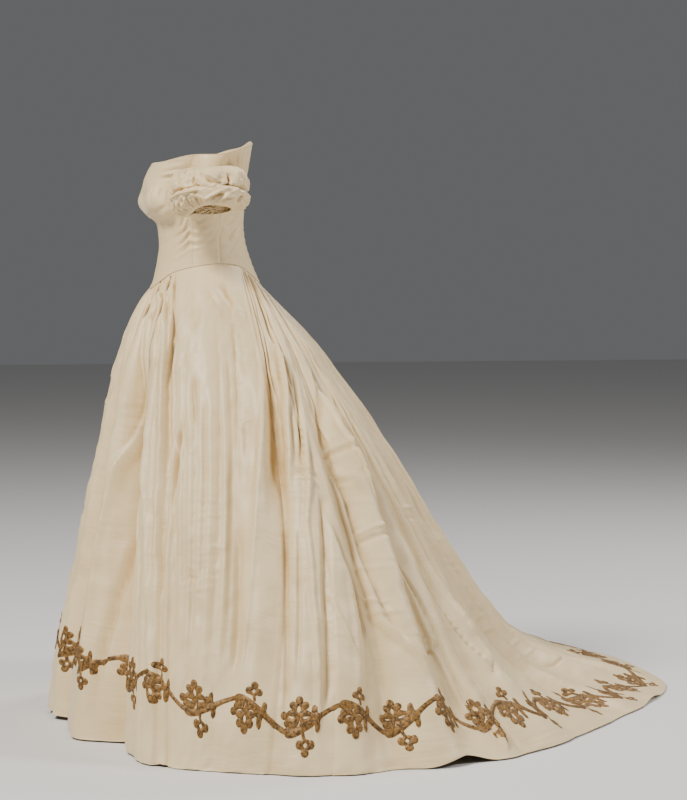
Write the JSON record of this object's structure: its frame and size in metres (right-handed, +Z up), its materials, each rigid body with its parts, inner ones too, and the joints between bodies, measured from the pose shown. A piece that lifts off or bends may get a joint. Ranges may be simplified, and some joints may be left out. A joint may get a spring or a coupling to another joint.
{
  "type": "ball gown",
  "caption": "Off-the-shoulder silk ball gown with a pointed, back-laced bodice, puffed sleeves, and a pleated skirt with a train and gold leaf embroidery.",
  "frame": {"origin": "centre of the waist, where the wearer's waist holds the gown", "axes": "+Z up, -Y to the wearer's front, +X to the wearer's left, +Y along the train"},
  "size_m": [1.3963, 1.4654, 1.2655],
  "materials": {
    "silk": "ivory silk with fine slubs across it and a soft sheen",
    "lace_cord": "matt cord",
    "gold_embroidery": "dull gold metal thread, laid in rows"
  },
  "bodies": {
    "root": {"bodice_front": "silk", "bodice_side_left": "silk", "bodice_back_left": "silk", "bodice_back_right": "silk", "bodice_side_right": "silk", "back_lacing": "lace_cord", "sleeve_cap_left": "silk", "sleeve_puff_upper_left": "silk", "sleeve_puff_lower_left": "silk", "sleeve_cap_right": "silk", "sleeve_puff_upper_right": "silk", "sleeve_puff_lower_right": "silk", "skirt_front": "silk", "skirt_side_left": "silk", "skirt_side_back_left": "silk", "skirt_back_left": "silk", "skirt_back_right": "silk", "skirt_side_back_right": "silk", "skirt_side_right": "silk"}
  },
  "joints": []
}
